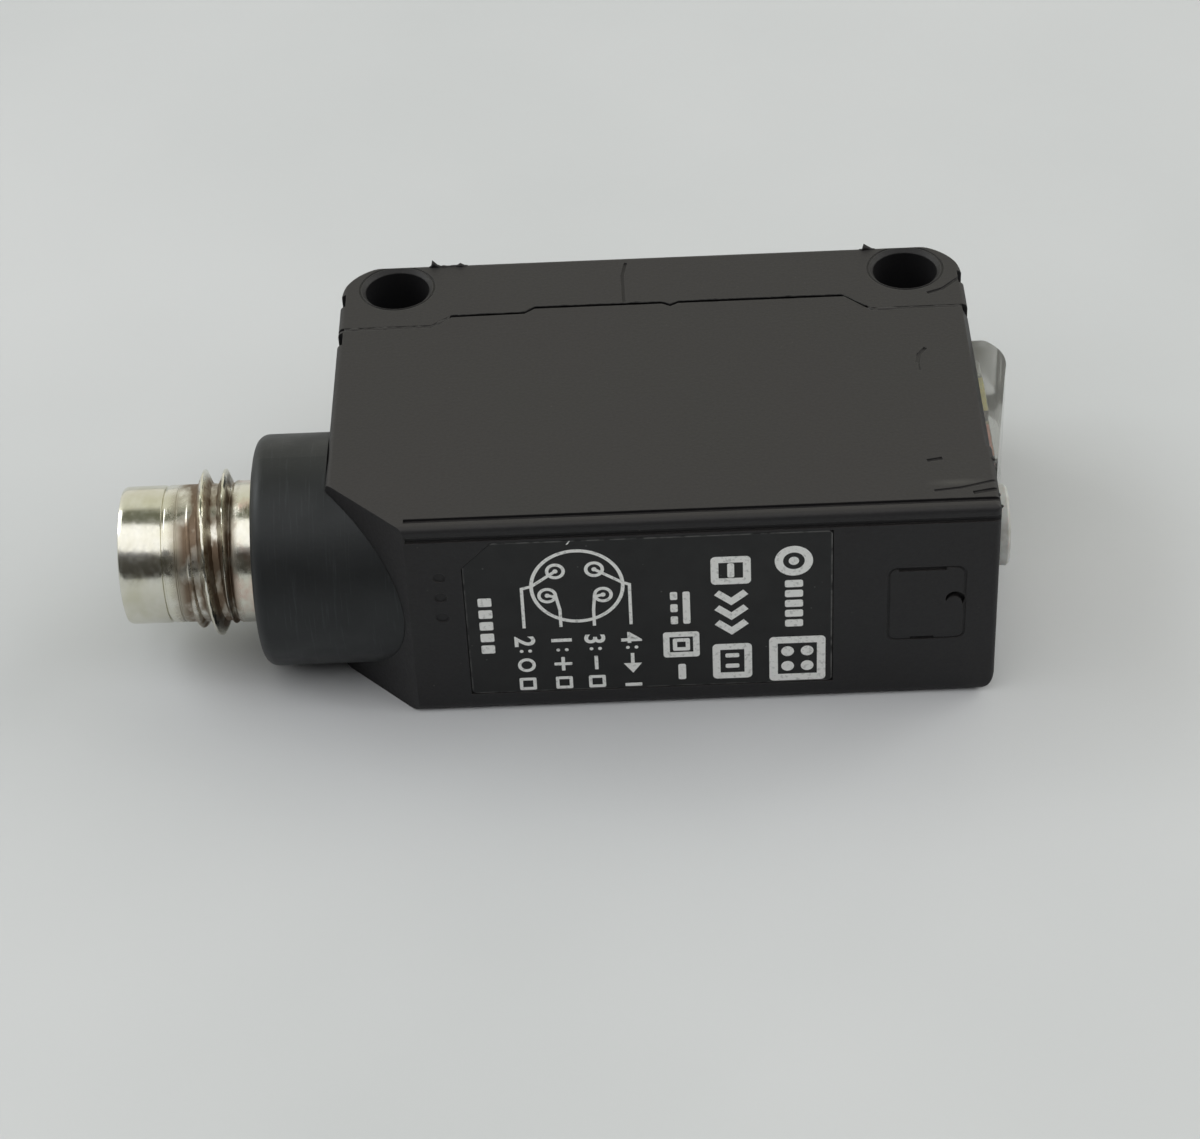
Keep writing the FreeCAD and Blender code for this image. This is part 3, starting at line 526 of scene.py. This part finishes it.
# --------------------------------------------------------------- plug shell
SHARP_ANGLE = math.radians(35)     # edges above this stay crisp under smooth shading
SHELL_LOW, SHELL_HIGH = limits("connector_shell")
PLUG_Y = (SHELL_LOW.y + SHELL_HIGH.y) / 2
PLUG_Z = (SHELL_LOW.z + SHELL_HIGH.z) / 2
TIP_X = SHELL_LOW.x
FLANGE_X = TIP_X + 7.0
FLANGE_R = 4.3
LOCK_R = 3.6               # groove behind the flange, for the lock ring
SLEEVE_R = 3.3
NECK_R = 3.4
CAVITY_R = 2.85
THREAD_R = 3.98
PITCH = 1.0
THREAD_X = (TIP_X + 3.25, TIP_X + 5.25)
RUN_IN = 0.45              # length over which the thread rises, and falls
RUN_OUT = 0.18
ROOT_SHARE = 0.3           # of the pitch's half, flat at the root
FLANK_SHARE = 0.6
THREAD_ROWS = 64
SHELL_TURN = 180


def thread_rise(x, angle):
    """Height of the M8 x 1 thread over the sleeve, run out at both ends."""
    fade_in = min(1.0, max(0.0, (x - THREAD_X[0]) / RUN_IN))
    fade_out = min(1.0, max(0.0, (THREAD_X[1] - x) / RUN_OUT))
    phase = ((x - THREAD_X[0]) / PITCH - angle / (2 * math.pi)) % 1.0
    crest = 1.0 - abs(phase - 0.5) * 2
    shape = min(1.0, max(0.0, (crest - ROOT_SHARE) / FLANK_SHARE))
    return (THREAD_R - SLEEVE_R) * shape * fade_in * fade_out


def shell_profile():
    """Closed outline from the front lip over the outside to the bore, as (x, r, threaded)."""
    rows = [
        (TIP_X + 0.1, CAVITY_R), (TIP_X + 0.02, CAVITY_R + 0.06), (TIP_X, CAVITY_R + 0.14),
        (TIP_X, SLEEVE_R - 0.2), (TIP_X + 0.05, SLEEVE_R - 0.07), (TIP_X + 0.18, SLEEVE_R - 0.01),
        (TIP_X + 0.3, SLEEVE_R), (TIP_X + 2.0, SLEEVE_R), (TIP_X + 2.06, SLEEVE_R - 0.03),
        (TIP_X + 2.09, SLEEVE_R - 0.13), (TIP_X + 2.17, SLEEVE_R - 0.13),
        (TIP_X + 2.2, SLEEVE_R - 0.02), (TIP_X + 2.26, SLEEVE_R), (TIP_X + 2.7, SLEEVE_R),
        (TIP_X + 2.73, SLEEVE_R - 0.04), (TIP_X + 2.79, SLEEVE_R - 0.04),
        (TIP_X + 2.82, SLEEVE_R), (TIP_X + 3.2, SLEEVE_R),
    ]
    rows = [(x, r, False) for x, r in rows]
    for i in range(THREAD_ROWS + 1):
        x = THREAD_X[0] + (THREAD_X[1] - THREAD_X[0]) * i / THREAD_ROWS
        rows.append((x, SLEEVE_R, True))
    back = [
        (THREAD_X[1] + 0.04, SLEEVE_R - 0.02), (THREAD_X[1] + 0.1, NECK_R - 0.05),
        (THREAD_X[1] + 0.2, NECK_R), (FLANGE_X, NECK_R), (FLANGE_X, FLANGE_R - 0.05),
        (FLANGE_X + 0.05, FLANGE_R), (FLANGE_X + 0.9, FLANGE_R), (FLANGE_X + 0.9, LOCK_R),
        (FLANGE_X + 1.7, LOCK_R), (FLANGE_X + 1.7, FLANGE_R), (FLANGE_X + 2.2, FLANGE_R),
        (FLANGE_X + 2.2, NECK_R), (SHELL_HIGH.x, NECK_R), (SHELL_HIGH.x, CAVITY_R),
    ]
    return rows + [(x, r, False) for x, r in back]


def make_plug_shell(material):
    bm = bmesh.new()
    rings = []
    for x, r, threaded in shell_profile():
        ring = []
        for i in range(SHELL_TURN):
            angle = 2 * math.pi * i / SHELL_TURN
            radius = r + (thread_rise(x, angle) if threaded else 0.0)
            ring.append(bm.verts.new(point(
                x, PLUG_Y + radius * math.cos(angle), PLUG_Z + radius * math.sin(angle))))
        rings.append(ring)
    for ring, after in zip(rings, rings[1:] + rings[:1]):
        for i in range(SHELL_TURN):
            j = (i + 1) % SHELL_TURN
            bm.faces.new((ring[i], ring[j], after[j], after[i]))
    piece = add_piece("plug_shell", bm, material)
    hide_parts("connector_shell")
    piece.data.set_sharp_from_angle(angle=SHARP_ANGLE)


# -------------------------------------------------------------- label print
LABEL_Y = limits("label_plate")[0].y
INK = 0.012                # thickness
INK_STEP = 0.0003          # between shapes that cross, so that their faces differ
INK_STEPS = 47
MITRE_LIMIT = 0.35


class Print:
    """Flat ink shapes on the label face, in X and Z, each a thin closed solid."""

    def __init__(self):
        self.bm = bmesh.new()
        self.count = 0

    def solid(self, outline, hole=None):
        """Outline points, with an optional hole of as many points."""
        self.count += 1
        front = LABEL_Y - INK - INK_STEP * (self.count % INK_STEPS)
        back = LABEL_Y + 0.01
        sheets = []
        for y in (front, back):
            outer = [self.bm.verts.new(point(x, y, z)) for x, z in outline]
            inner = [self.bm.verts.new(point(x, y, z)) for x, z in hole] if hole else None
            sheets.append((outer, inner))
        self.caps(sheets)
        loops = [(sheets[0][0], sheets[1][0])]
        if hole:
            loops.append((sheets[0][1], sheets[1][1]))
        for near, far in loops:
            n = len(near)
            for i in range(n):
                j = (i + 1) % n
                self.bm.faces.new((near[i], near[j], far[j], far[i]))

    def caps(self, sheets):
        for outer, inner in sheets:
            if inner is None:
                self.bm.faces.new(outer)
                continue
            n = len(outer)
            for i in range(n):
                j = (i + 1) % n
                self.bm.faces.new((outer[i], outer[j], inner[j], inner[i]))

    def ring(self, x, z, outer, inner, steps=48):
        turn = [2 * math.pi * i / steps for i in range(steps)]
        self.solid([(x + outer * math.cos(a), z + outer * math.sin(a)) for a in turn],
                   [(x + inner * math.cos(a), z + inner * math.sin(a)) for a in turn])

    def disc(self, x, z, radius, steps=24):
        turn = [2 * math.pi * i / steps for i in range(steps)]
        self.solid([(x + radius * math.cos(a), z + radius * math.sin(a)) for a in turn])

    def bar(self, x0, x1, z0, z1, corner=0.1):
        self.solid(rounded(x0, x1, z0, z1, corner))

    def frame(self, x0, x1, z0, z1, wide, corner=0.25):
        self.solid(rounded(x0, x1, z0, z1, corner),
                   rounded(x0 + wide, x1 - wide, z0 + wide, z1 - wide, max(0.02, corner - wide)))

    def stroke(self, points, wide):
        """Line of one width through points, mitred at its corners."""
        left, right = [], []
        for i, spot in enumerate(points):
            here = Vector(spot)
            before = (here - Vector(points[i - 1])).normalized() if i else None
            after = (Vector(points[i + 1]) - here).normalized() if i + 1 < len(points) else None
            way = ((before or after) + (after or before)).normalized()
            side = Vector((-way.y, way.x))
            reach = wide / 2
            if before and after:
                reach /= max(MITRE_LIMIT, side.dot(Vector((-after.y, after.x))))
            left.append(tuple(here + side * reach))
            right.append(tuple(here - side * reach))
        self.solid(left + right[::-1])

    def finish(self, name, material):
        add_piece(name, self.bm, material, False)


def rounded(x0, x1, z0, z1, corner, steps=5):
    """Corner-rounded rectangle, anticlockwise."""
    points = []
    corners = ((x1 - corner, z0 + corner, -90), (x1 - corner, z1 - corner, 0),
               (x0 + corner, z1 - corner, 90), (x0 + corner, z0 + corner, 180))
    for cx, cz, start in corners:
        for i in range(steps + 1):
            a = math.radians(start + 90 * i / steps)
            points.append((cx + corner * math.cos(a), cz + corner * math.sin(a)))
    return points


# The diagram of the plug's face: outline, pins and the columns that they lead to.
DIAL = (-3.98, 7.48)
DIAL_R = 2.2
DIAL_LINE = 0.17
PIN_MARKS = {1: (-5.38, 6.98), 2: (-4.95, 8.42), 3: (-2.8, 6.92), 4: (-3.15, 8.46)}
PIN_RING = (0.46, 0.3)
PIN_DOT_R = 0.12
LEAD_LINE = 0.15
COLUMNS = {2: -6.55, 1: -4.83, 3: -3.27, 4: -1.56}
COLUMN_TOP = 4.55
LEAD_END = COLUMN_TOP + 0.5
CHIP_MARK = [(-4.38, 9.98), (-4.28, 10.02), (-4.18, 10.2), (-4.26, 10.16)]


def make_pin_diagram(ink):
    p = Print()
    p.ring(*DIAL, DIAL_R, DIAL_R - DIAL_LINE, 72)
    for x, z in PIN_MARKS.values():
        p.ring(x, z, *PIN_RING, 32)
        p.disc(x, z, PIN_DOT_R, 16)
    for number, side in ((2, -1), (4, 1)):
        x, z = PIN_MARKS[number]
        column = COLUMNS[number]
        p.stroke([(x, z), (DIAL[0] + side * 2.12, z - 0.86), (column, z - 0.98),
                  (column, LEAD_END)], LEAD_LINE)
    for number, side in ((1, 1), (3, -1)):
        x, z = PIN_MARKS[number]
        column = COLUMNS[number]
        p.stroke([(x, z), (x + side * 0.4, z - 0.1), (column, z - 0.9),
                  (column, LEAD_END)], LEAD_LINE)
    p.solid(CHIP_MARK)
    p.finish("print_pin_diagram", ink)


SIGN_LINE = 0.17
SIGN_HALF = 0.42
COLON_Z = 3.62
SIGN_Z = 2.75
BOX_HALF = 0.4
BOX_Z = (1.2, 1.95)


def make_pin_signs(ink):
    """Signs under each pin number: plus, minus, open ring and output arrow."""
    p = Print()
    half_line = SIGN_LINE / 2
    z = SIGN_Z
    for x in COLUMNS.values():
        for dot_x in (x - 0.2, x + 0.2):
            p.disc(dot_x, COLON_Z, 0.09, 12)
    x = COLUMNS[1]
    p.bar(x - SIGN_HALF, x + SIGN_HALF, z - half_line, z + half_line, 0.04)
    p.bar(x - half_line, x + half_line, z + half_line + 0.01, z + SIGN_HALF, 0.04)
    p.bar(x - half_line, x + half_line, z - SIGN_HALF, z - half_line - 0.01, 0.04)
    x = COLUMNS[3]
    p.bar(x - half_line, x + half_line, z - SIGN_HALF, z + SIGN_HALF, 0.04)
    p.ring(COLUMNS[2], z, SIGN_HALF, 0.26, 28)
    x = COLUMNS[4]
    p.stroke([(x, z + 0.5), (x, z - 0.1)], SIGN_LINE)
    p.solid([(x - SIGN_HALF, z - 0.12), (x, z - 0.72), (x + SIGN_HALF, z - 0.12)])
    for number, x in COLUMNS.items():
        if number != 4:
            p.frame(x - BOX_HALF, x + BOX_HALF, *BOX_Z, 0.16, 0.08)
    x = COLUMNS[4]
    p.bar(x - BOX_HALF, x + BOX_HALF, BOX_Z[0], BOX_Z[0] + 0.18, 0.04)
    p.finish("print_pin_signs", ink)


DIGIT_SIZE = 1.32
DIGIT_SHIFT = 0.47         # from a column to the digit's base line
DIGIT_BOLD = 0.03


def make_pin_numbers(ink):
    """Pin numbers 1 to 4 beside the diagram's lines, read from the window end."""
    joined = bmesh.new()
    for number, x in COLUMNS.items():
        curve = bpy.data.curves.new("number", "FONT")
        curve.body = str(number)
        curve.size = DIGIT_SIZE * MM
        curve.extrude = INK * MM / 2
        curve.offset = DIGIT_BOLD * MM
        holder = bpy.data.objects.new("number", curve)
        bpy.context.scene.collection.objects.link(holder)
        mesh = bpy.data.meshes.new_from_object(holder)
        place = Matrix((
            (0, 1, 0, (x - DIGIT_SHIFT) * MM),
            (0, 0, -1, (LABEL_Y - INK / 2) * MM),
            (-1, 0, 0, COLUMN_TOP * MM),
            (0, 0, 0, 1),
        ))
        mesh.transform(place)
        joined.from_mesh(mesh)
        bpy.data.objects.remove(holder)
        bpy.data.meshes.remove(mesh)
    add_piece("print_pin_numbers", joined, ink, False)


TYPE_X = (2.2, 4.05)       # the two columns of the type marks
SUPPLY_X = (-0.1, 1.6)
TYPE_LINE = 0.36


def make_type_marks(ink):
    """Plain pictograms: sensor, light beam and target, then the direct-current sign."""
    p = Print()
    x0, x1 = TYPE_X
    middle = (x0 + x1) / 2
    p.frame(x0, x1, 7.25, 8.9, TYPE_LINE, 0.22)
    p.bar(middle - 0.16, middle + 0.16, 7.65, 8.5, 0.1)
    for tip in (6.2, 5.3, 4.4):
        p.stroke([(x0 + 0.25, tip + 0.55), (middle, tip), (x1 - 0.25, tip + 0.55)], TYPE_LINE)
    p.frame(x0, x1, 1.45, 3.6, TYPE_LINE, 0.22)
    for z in (2.1, 2.75):
        p.bar(x0 + 0.6, x1 - 0.6, z, z + 0.25, 0.08)
    x0, x1 = SUPPLY_X
    middle = (x0 + x1) / 2
    p.bar(middle + 0.12, middle + 0.46, 4.95, 6.9, 0.1)
    for z in (4.95, 5.69, 6.43):
        p.bar(middle - 0.46, middle - 0.12, z, z + 0.47, 0.08)
    p.frame(x0, x1, 2.9, 4.45, 0.3, 0.15)
    p.frame(x0 + 0.45, x1 - 0.45, 3.3, 4.05, 0.2, 0.08)
    p.bar(middle - 0.18, middle + 0.18, 1.5, 2.45, 0.1)
    p.finish("print_type_marks", ink)


MAKER_X = 6.03
MAKER_RING_Z = 8.5
PLACE_X = (-8.62, -7.98)   # row of blocks at the plug end


def make_maker_marks(ink):
    """A ring with a dot, a row of blocks and a frame with four dots, then a second row."""
    p = Print()
    p.ring(MAKER_X, MAKER_RING_Z, 0.88, 0.5, 40)
    p.disc(MAKER_X, MAKER_RING_Z, 0.24, 20)
    for i in range(5):
        top = 7.35 - i * 0.6
        p.bar(MAKER_X - 0.42, MAKER_X + 0.42, top - 0.42, top, 0.1)
    p.frame(4.86, 7.5, 1.18, 3.9, 0.4, 0.22)
    for dot_x in (5.72, 6.64):
        for dot_z in (2.08, 3.0):
            p.disc(dot_x, dot_z, 0.3, 24)
    for i in range(5):
        top = 6.95 - i * 0.72
        p.bar(*PLACE_X, top - 0.5, top, 0.08)
    p.finish("print_maker_marks", ink)


# -------------------------------------------------------- small surface marks
SEAM_WIDE = 0.2
SEAM_LINE = [(-9.6, -2.52), (-6.4, -2.46), (-5.8, -2.05), (0.5, -2.05), (0.9, -2.3),
             (1.3, -2.05), (9.4, -2.05), (10.5, -3.1)]
SEAM_EARS = [
    [(-15.2, -3.3), (-10.9, -3.3), (-10.0, -2.6)],
    [(10.6, -3.15), (10.9, -3.3), (15.2, -3.3)],
]
LIP_STEP = 0.14            # spacing of cross-sections along the seam and its filled ends
FILL_STEP = 0.2


def along(line, step):
    """Points spaced evenly along a line of points on X and Y."""
    spots = []
    for (xa, ya), (xb, yb) in zip(line, line[1:]):
        count = max(2, int(math.hypot(xb - xa, yb - ya) / step))
        spots += [(xa + (xb - xa) * i / count, ya + (yb - ya) * i / count) for i in range(count)]
    return spots + [line[-1]]


def add_bead(bm, rows):
    """Closed strip through rows of cross-section points."""
    rings = [[bm.verts.new(point(*spot)) for spot in row] for row in rows]
    for ring, after in zip(rings, rings[1:]):
        for i in range(len(ring)):
            j = (i + 1) % len(ring)
            bm.faces.new((ring[i], ring[j], after[j], after[i]))
    bm.faces.new(rings[0])
    bm.faces.new(rings[-1])


def make_seam_flash(seam_shade_flash, housing):
    """Weld squeeze-out: a ragged lip along the seam, coloured near-black as painted shade in the
    seam, and filled seams at the ears.
    """
    random.seed(4)
    top = limits("front_case")[1].z
    bm = bmesh.new()
    rows = []
    for i, (x, y) in enumerate(along(SEAM_LINE, LIP_STEP)):
        burst = max(0.0, math.sin(i * 0.23) + math.sin(i * 0.71 + 1.0) - 0.2)
        height = 0.006 + 0.03 * burst * random.uniform(0.4, 1.0)
        half = 0.03 + 0.025 * burst + 0.03 * random.random()
        y += random.uniform(0.0, 0.04)
        rows.append([(x, y - half, top - 0.04), (x, y - half * 0.4, top + height),
                     (x, y + half * 0.6, top + height * 0.7), (x, y + half * 1.6, top - 0.04)])
    add_bead(bm, rows)
    add_piece("seam_flash", bm, seam_shade_flash)
    bm = bmesh.new()
    for line in SEAM_EARS:
        rows = []
        for x, y in along(line, FILL_STEP):
            y0 = y - SEAM_WIDE - 0.01 + random.uniform(-0.01, 0.01)
            y1 = y + 0.02 + random.uniform(-0.01, 0.01)
            high = top + random.uniform(-0.03, 0.006)
            rows.append([(x, y0, top - 0.08), (x, y0, high), (x, (y0 + y1) / 2, high + 0.003),
                         (x, y1, high), (x, y1, top - 0.08)])
        add_bead(bm, rows)
    add_piece("seam_fill", bm, housing)


# Ragged flash on the far edge: start, end and how high it stands along the way.
FLASH_RUNS = [
    (-11.15, -9.2,
     [0.0, 0.12, 0.4, 0.16, 0.05, 0.09, 0.06, 0.04, 0.07, 0.05, 0.12, 0.2, 0.07, 0.0]),
    (10.55, 11.35, [0.0, 0.08, 0.34, 0.2, 0.06, 0.0]),
]
FLASH_IN = 0.24            # from the lens face
BURR_SHAPE = (1.1, 0.8, 0.6)
BURR_JAG = 0.35


def make_burrs(material):
    """Moulding flash on the far edge, and small burrs at an end edge and the ridge end."""
    random.seed(11)
    high = limits("front_case")[1]
    rear_high = limits("rear_case")[1]
    spots = [
        ((rear_high.x - 0.08, -18.95, high.z - 0.24), 0.16),
        ((rear_high.x - 0.1, -18.2, high.z - 0.14), 0.13),
        ((rear_high.x - 0.1, -15.6, high.z - 0.1), 0.13),
    ]
    bm = bmesh.new()
    for start, end, heights in FLASH_RUNS:
        rows = []
        for i, height in enumerate(heights):
            x = start + (end - start) * i / (len(heights) - 1)
            y = high.y - FLASH_IN + random.uniform(-0.03, 0.03)
            rows.append([(x, y - 0.1, high.z - 0.06), (x - height * 0.3, y, high.z + height),
                         (x, y + 0.06, high.z + height * 0.5), (x, y + 0.16, high.z - 0.2)])
        add_bead(bm, rows)
    for place, size in spots:
        made = bmesh.ops.create_icosphere(bm, subdivisions=2, radius=size * MM)
        for v in made["verts"]:
            jag = 1 + random.uniform(-BURR_JAG, BURR_JAG)
            v.co = Vector([a * b * jag for a, b in zip(v.co, BURR_SHAPE)]) + point(*place)
    add_piece("moulding_burrs", bm, material)


TICK_FROM = 0.18           # the scale marks, measured from the head's rim
TICK_TO = 0.42
TICK_HALF = 0.05
TICK_RISE = 0.02
TICK_ANGLES = {
    "adjuster_rotor": range(-30, 211, 30),
    "mode_switch_rotor": (-45, -135),
}


def make_dial_marks(ink):
    """Raised scale marks round the two adjusters on the end wall."""
    wall_x = limits("rear_case")[1].x
    bm = bmesh.new()
    for node, angles in TICK_ANGLES.items():
        low, high = limits(node)
        centre = Vector((low.y + high.y, low.z + high.z)) / 2
        radius = (high.z - low.z) / 2
        for angle in angles:
            add_tick(bm, wall_x, centre, radius, math.radians(angle))
    add_piece("dial_marks", bm, ink, False)


def add_tick(bm, wall_x, centre, radius, angle):
    """One short mark outside the head, at an angle from the lens side."""
    out = Vector((math.cos(angle), math.sin(angle)))
    side = Vector((-out.y, out.x)) * TICK_HALF
    near = centre + out * (radius + TICK_FROM)
    far = centre + out * (radius + TICK_TO)
    flat = [near - side, far - side, far + side, near + side]
    layers = []
    for x in (wall_x - 0.01, wall_x + TICK_RISE):
        layers.append([bm.verts.new(point(x, *spot)) for spot in flat])
    bm.faces.new(layers[0])
    bm.faces.new(layers[1])
    for i in range(4):
        j = (i + 1) % 4
        bm.faces.new((layers[0][i], layers[0][j], layers[1][j], layers[1][i]))


# ------------------------------------------------------------ carried nodes
def dress_nodes():
    """Gives every CAD node that stays its finish."""
    housing = housing_plastic()
    inner = simple_grain("inner_black", (0.02, 0.02, 0.02), (0.03, 0.03, 0.032), 0.6, 0.2, 0.01)
    seal = simple_grain("seal_rubber", (0.015, 0.015, 0.015), (0.03, 0.03, 0.03), 0.7, 0.1, 0.01)
    chip = simple_grain("chip_epoxy", (0.02, 0.02, 0.022), (0.035, 0.035, 0.04), 0.5, 0.08, 0.005)
    ceramic = simple_grain("ceramic", (0.42, 0.3, 0.18), (0.5, 0.38, 0.25), 0.45, 0.1, 0.004)
    tin = simple_grain("tin", (0.72, 0.72, 0.7), (0.6, 0.6, 0.58), 0.32, 0.1, 0.003, 1.0)
    gold = simple_grain("gold_plate", (0.9, 0.66, 0.28), (0.82, 0.58, 0.24), 0.22, 0.15, 0.002, 1.0)
    lamp = simple_grain("lamp_epoxy", (0.7, 0.68, 0.5), (0.8, 0.78, 0.6), 0.2, 0.3, 0.002)
    wire = simple_grain("wire_skin", (0.2, 0.07, 0.03), (0.28, 0.1, 0.05), 0.5, 0.2, 0.004)
    nickel = turned_nickel()
    finishes = {
        housing: ["rear_case", "front_case"],
        collar_plastic(): ["connector_collar"],
        label_film(): ["label_plate"],
        clear_acrylic("lens_acrylic", (0.62, 0.12, 0.1), 0.03, 20.0): ["front_lens"],
        clear_acrylic("cover_acrylic", (0.82, 0.83, 0.81), 0.04, 24.0, 0.9): ["indicator_cover"],
        tinted_bar("stability_tint", (0.68, 0.6, 0.1), (0.5, 0.44, 0.05)):
            ["stability_light_bar"],
        tinted_bar("operation_tint", (0.6, 0.12, 0.05), (0.42, 0.05, 0.02)):
            ["operation_light_bar"],
        knob_plastic(): ["adjuster_rotor", "mode_switch_rotor"],
        board_mask(): ["main_board", "optics_board", "indicator_board"],
        inner: ["optics_holder", "contact_carrier", "adjuster_body", "mode_switch_body"],
        seal: ["lens_seal", "indicator_cover_seal", "adjuster_o_ring", "mode_switch_o_ring",
               "connector_o_ring"],
        chip: ["control_ic", "output_transistor", "voltage_regulator", "receiver_diode",
               "resistors"],
        ceramic: ["capacitors"],
        tin: ["receiver_shield", "optics_link_pins", "indicator_link_pins"],
        gold: ["contact_pins"],
        lamp: ["emitter_diode", "indicator_leds"],
        wire: ["lead_wires"],
        nickel: ["connector_lock_ring"],
    }
    for material, names in finishes.items():
        for name in names:
            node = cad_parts[name]
            node.data.materials.clear()
            node.data.materials.append(material)
    # Near-black flash, darker than the housing: painted shade along the seam.
    seam_shade_flash = simple_grain("weld_flash", (0.003, 0.003, 0.003), (0.007, 0.007, 0.007), 0.5, 0.1, 0.004)
    return housing, nickel, seam_shade_flash


make_camera()
for light in LIGHTS:
    add_light(*light)
make_world()
make_floor()
housing, nickel, seam_shade_flash = dress_nodes()
make_plug_shell(nickel)
ink = white_ink()
make_pin_diagram(ink)
make_pin_signs(ink)
make_pin_numbers(ink)
make_type_marks(ink)
make_maker_marks(ink)
make_dial_marks(ink)
make_seam_flash(seam_shade_flash, housing)
make_burrs(housing)
